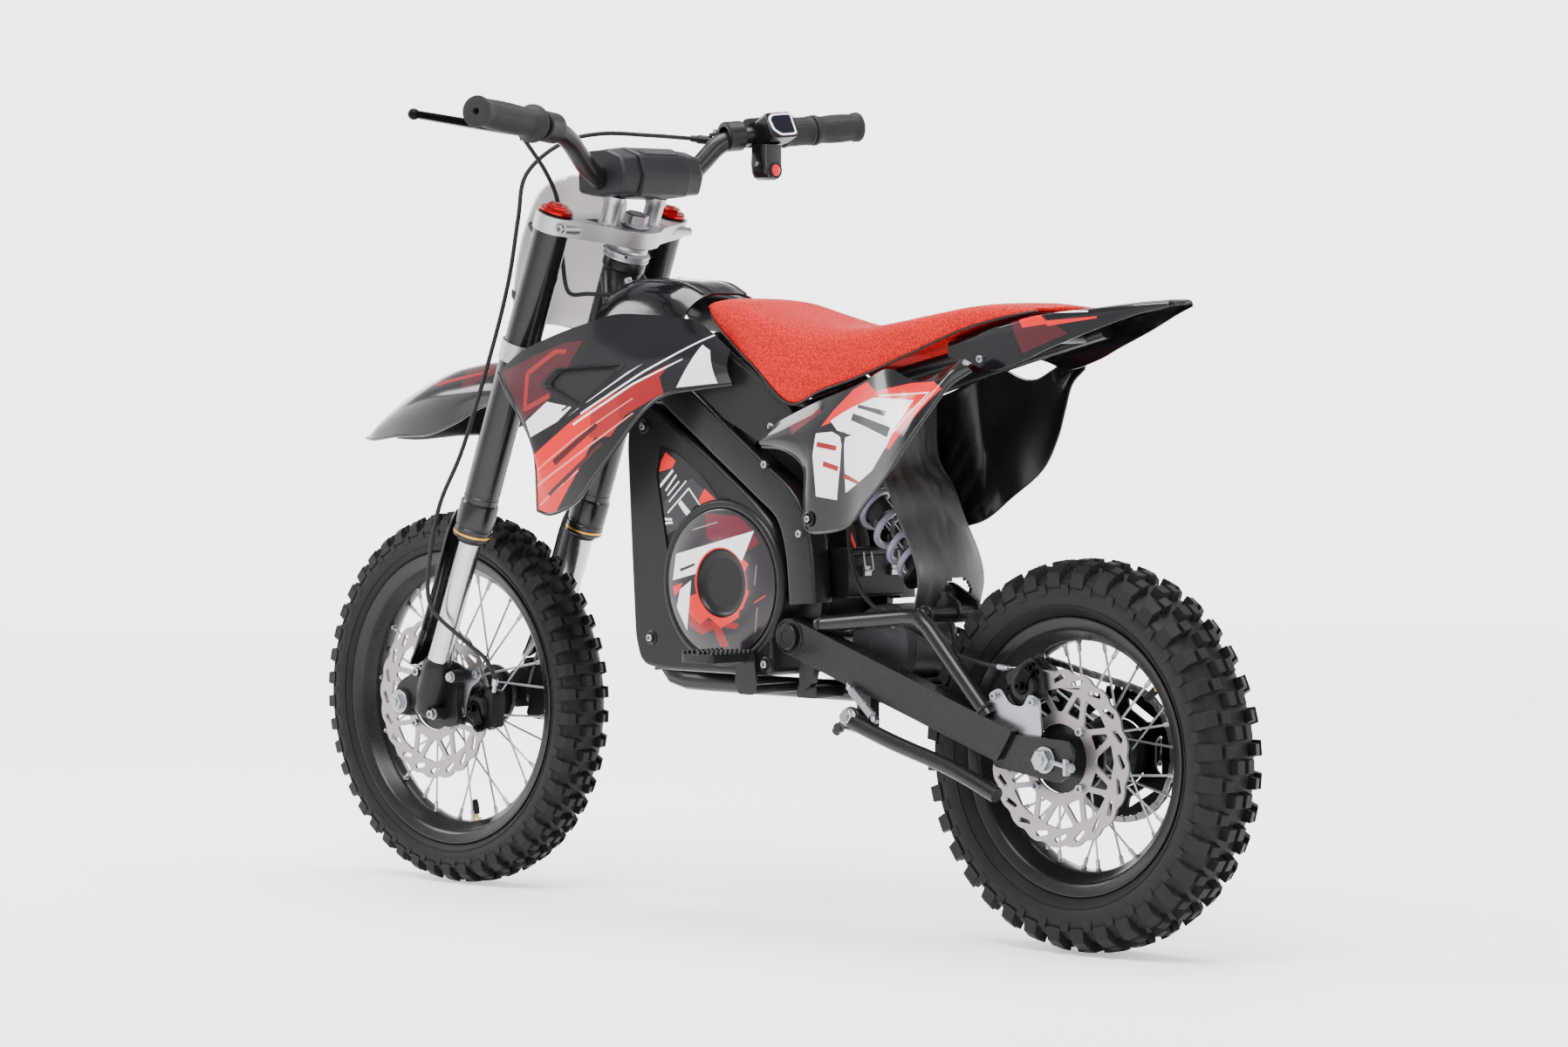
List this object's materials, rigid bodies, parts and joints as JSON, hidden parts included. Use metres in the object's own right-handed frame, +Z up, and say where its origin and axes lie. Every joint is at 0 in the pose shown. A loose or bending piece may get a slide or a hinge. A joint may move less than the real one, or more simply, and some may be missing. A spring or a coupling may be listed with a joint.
{
  "type": "children's electric dirt bike",
  "caption": "Small electric off-road motorcycle for a child, with knobby tyres, spoked wheels, a telescopic fork, swingarm and shock, chain drive, disc brakes and a folded side stand.",
  "frame": {"origin": "on the ground, midway between the front tyre's front and the rear tyre's back, on the bike's middle plane", "axes": "+X forwards, +Y to the rider's left, +Z up; metres"},
  "size_m": [1.3525, 0.62, 0.8819],
  "materials": {
    "gloss_black_plastic": null,
    "matte_black_plastic": "fine grained black",
    "black_painted_steel": "satin black powder coat",
    "black_aluminium": "black anodised",
    "silver_aluminium": "satin machined",
    "tyre_rubber": "matt black knobby tread",
    "soft_rubber": "matt black",
    "red_vinyl": "finely textured vinyl",
    "red_plastic": "moulded red",
    "zinc_steel": "bright zinc plate",
    "chromed_steel": "polished hard chrome",
    "disc_steel": "ground stainless",
    "spring_paint": "light grey-lilac paint",
    "grey_aluminium": "dark grey cast",
    "plate_plastic": "translucent pinkish white",
    "battery_wrap": "blue shrink wrap"
  },
  "bodies": {
    "chassis": {"frame": "black_painted_steel", "case_left": "gloss_black_plastic", "case_right": "gloss_black_plastic", "shroud_left": "gloss_black_plastic", "shroud_right": "gloss_black_plastic", "side_panel_left": "gloss_black_plastic", "side_panel_right": "gloss_black_plastic", "battery_pack": "battery_wrap", "drive_motor": "grey_aluminium", "tank_cover": "matte_black_plastic", "seat": "red_vinyl", "rear_fender": "gloss_black_plastic", "mud_flap": "soft_rubber", "head_bearing": "zinc_steel", "swingarm_pivot_bolt": "zinc_steel", "rear_brake_cable": "soft_rubber"},
    "footpeg_left": {"footpeg_left": "black_painted_steel"},
    "footpeg_right": {"footpeg_right": "black_painted_steel"},
    "motor_sprocket": {"motor_sprocket": "disc_steel"},
    "steering": {"steering_stem": "silver_aluminium", "upper_clamp": "silver_aluminium", "fork_tube_left": "black_aluminium", "fork_tube_right": "black_aluminium", "handlebar": "black_painted_steel", "bar_pad": "matte_black_plastic", "grip_left": "soft_rubber", "grip_right": "soft_rubber", "brake_perch_left": "black_aluminium", "brake_perch_right": "black_aluminium", "throttle_display": "matte_black_plastic", "number_plate": "plate_plastic", "front_fender": "gloss_black_plastic", "front_brake_cable": "soft_rubber"},
    "throttle": {"throttle_twist": "soft_rubber"},
    "kill_switch": {"kill_button": "red_plastic"},
    "lever_left": {"brake_lever_left": "black_aluminium"},
    "lever_right": {"brake_lever_right": "black_aluminium"},
    "fork_lower": {"fork_slider_left": "chromed_steel", "fork_slider_right": "chromed_steel", "fork_guard_left": "matte_black_plastic", "fork_guard_right": "matte_black_plastic", "front_axle": "zinc_steel", "front_caliper": "black_aluminium"},
    "front_wheel": {"front_tyre": "tyre_rubber", "front_rim": "black_aluminium", "front_hub_and_spokes": "zinc_steel", "front_brake_disc": "disc_steel"},
    "swingarm": {"swingarm": "black_painted_steel", "rear_axle": "zinc_steel", "rear_caliper": "black_aluminium", "drive_chain": "disc_steel"},
    "rear_wheel": {"rear_tyre": "tyre_rubber", "rear_rim": "black_aluminium", "rear_hub_and_spokes": "zinc_steel", "rear_brake_disc": "disc_steel", "rear_sprocket": "disc_steel"},
    "kickstand": {"kickstand": "black_painted_steel"},
    "shock": {"shock_body": "grey_aluminium", "shock_spring": "spring_paint"},
    "shock_rod": {"shock_rod": "chromed_steel"}
  },
  "joints": [
    {"name": "steering_turn", "type": "hinge", "parent": "chassis", "child": "steering", "pos_m": [0.18175, 0, 0.757], "axis": [-0.3625, 0, 0.932], "range_deg": [-35, 35], "deforming": ["rear_brake_cable"]},
    {"name": "fork_slide", "type": "slide", "parent": "steering", "child": "fork_lower", "axis": [-0.3625, 0, 0.932], "range_m": [0, 0.06], "stiffness_N_per_m": 8000, "springref_m": -0.03, "deforming": ["front_brake_cable"]},
    {"name": "front_wheel_spin", "type": "hinge", "parent": "fork_lower", "child": "front_wheel", "pos_m": [0.46275, 0, 0.2135], "axis": [0, 1, 0], "continuous": true},
    {"name": "swingarm_pivot", "type": "hinge", "parent": "chassis", "child": "swingarm", "pos_m": [-0.12525, 0, 0.311], "axis": [0, 1, 0], "range_deg": [0, 13], "stiffness_Nm_per_rad": 1000, "springref_deg": -8.59, "deforming": ["rear_brake_cable", "drive_chain", "mud_flap"]},
    {"name": "rear_wheel_spin", "type": "hinge", "parent": "swingarm", "child": "rear_wheel", "pos_m": [-0.47525, 0, 0.201], "axis": [0, 1, 0], "continuous": true},
    {"name": "kickstand_fold", "type": "hinge", "parent": "swingarm", "child": "kickstand", "pos_m": [-0.22825, 0.088, 0.229], "axis": [0.094, -0.9521, -0.291], "range_deg": [0, 78]},
    {"name": "shock_pivot", "type": "hinge", "parent": "chassis", "child": "shock", "pos_m": [-0.11025, 0, 0.512], "axis": [0, 1, 0], "range_deg": [0, 4.2]},
    {"name": "shock_slide", "type": "slide", "parent": "shock", "child": "shock_rod", "axis": [0.7182, 0, 0.6959], "range_m": [0, 0.0325], "deforming": ["shock_spring"]},
    {"name": "motor_sprocket_spin", "type": "hinge", "parent": "chassis", "child": "motor_sprocket", "pos_m": [-0.22025, -0.0486, 0.305], "axis": [0, 1, 0], "continuous": true},
    {"name": "brake_lever_left", "type": "hinge", "parent": "steering", "child": "lever_left", "pos_m": [0.18875, 0.158, 0.849], "axis": [0, 0, 1], "range_deg": [0, 18], "stiffness_Nm_per_rad": 2, "springref_deg": -8.59},
    {"name": "brake_lever_right", "type": "hinge", "parent": "steering", "child": "lever_right", "pos_m": [0.18875, -0.134, 0.846], "axis": [0, 0, -1], "range_deg": [0, 14], "stiffness_Nm_per_rad": 2, "springref_deg": -8.59},
    {"name": "throttle_turn", "type": "hinge", "parent": "steering", "child": "throttle", "pos_m": [0.14975, -0.185, 0.8555], "axis": [-0.2501, -0.9648, 0.0819], "range_deg": [0, 60], "stiffness_Nm_per_rad": 0.5, "springref_deg": -17.19},
    {"name": "kill_button_press", "type": "slide", "parent": "steering", "child": "kill_switch", "axis": [1, 0, 0], "range_m": [0, 0.003], "stiffness_N_per_m": 800, "springref_m": -0.002},
    {"name": "footpeg_left_fold", "type": "hinge", "parent": "chassis", "child": "footpeg_left", "pos_m": [-0.06825, 0.092, 0.288], "axis": [1, 0, 0], "range_deg": [0, 60], "stiffness_Nm_per_rad": 2, "springref_deg": -22.92},
    {"name": "footpeg_right_fold", "type": "hinge", "parent": "chassis", "child": "footpeg_right", "pos_m": [-0.06825, -0.092, 0.288], "axis": [-1, 0, 0], "range_deg": [0, 60], "stiffness_Nm_per_rad": 2, "springref_deg": -22.92}
  ],
  "couplings": [
    {"joint": "shock_pivot", "follows": "swingarm_pivot", "ratio": 0.306},
    {"joint": "shock_slide", "follows": "swingarm_pivot", "m_per_rad": 0.1385},
    {"joint": "motor_sprocket_spin", "follows": "rear_wheel_spin", "ratio": 3.2727}
  ]
}
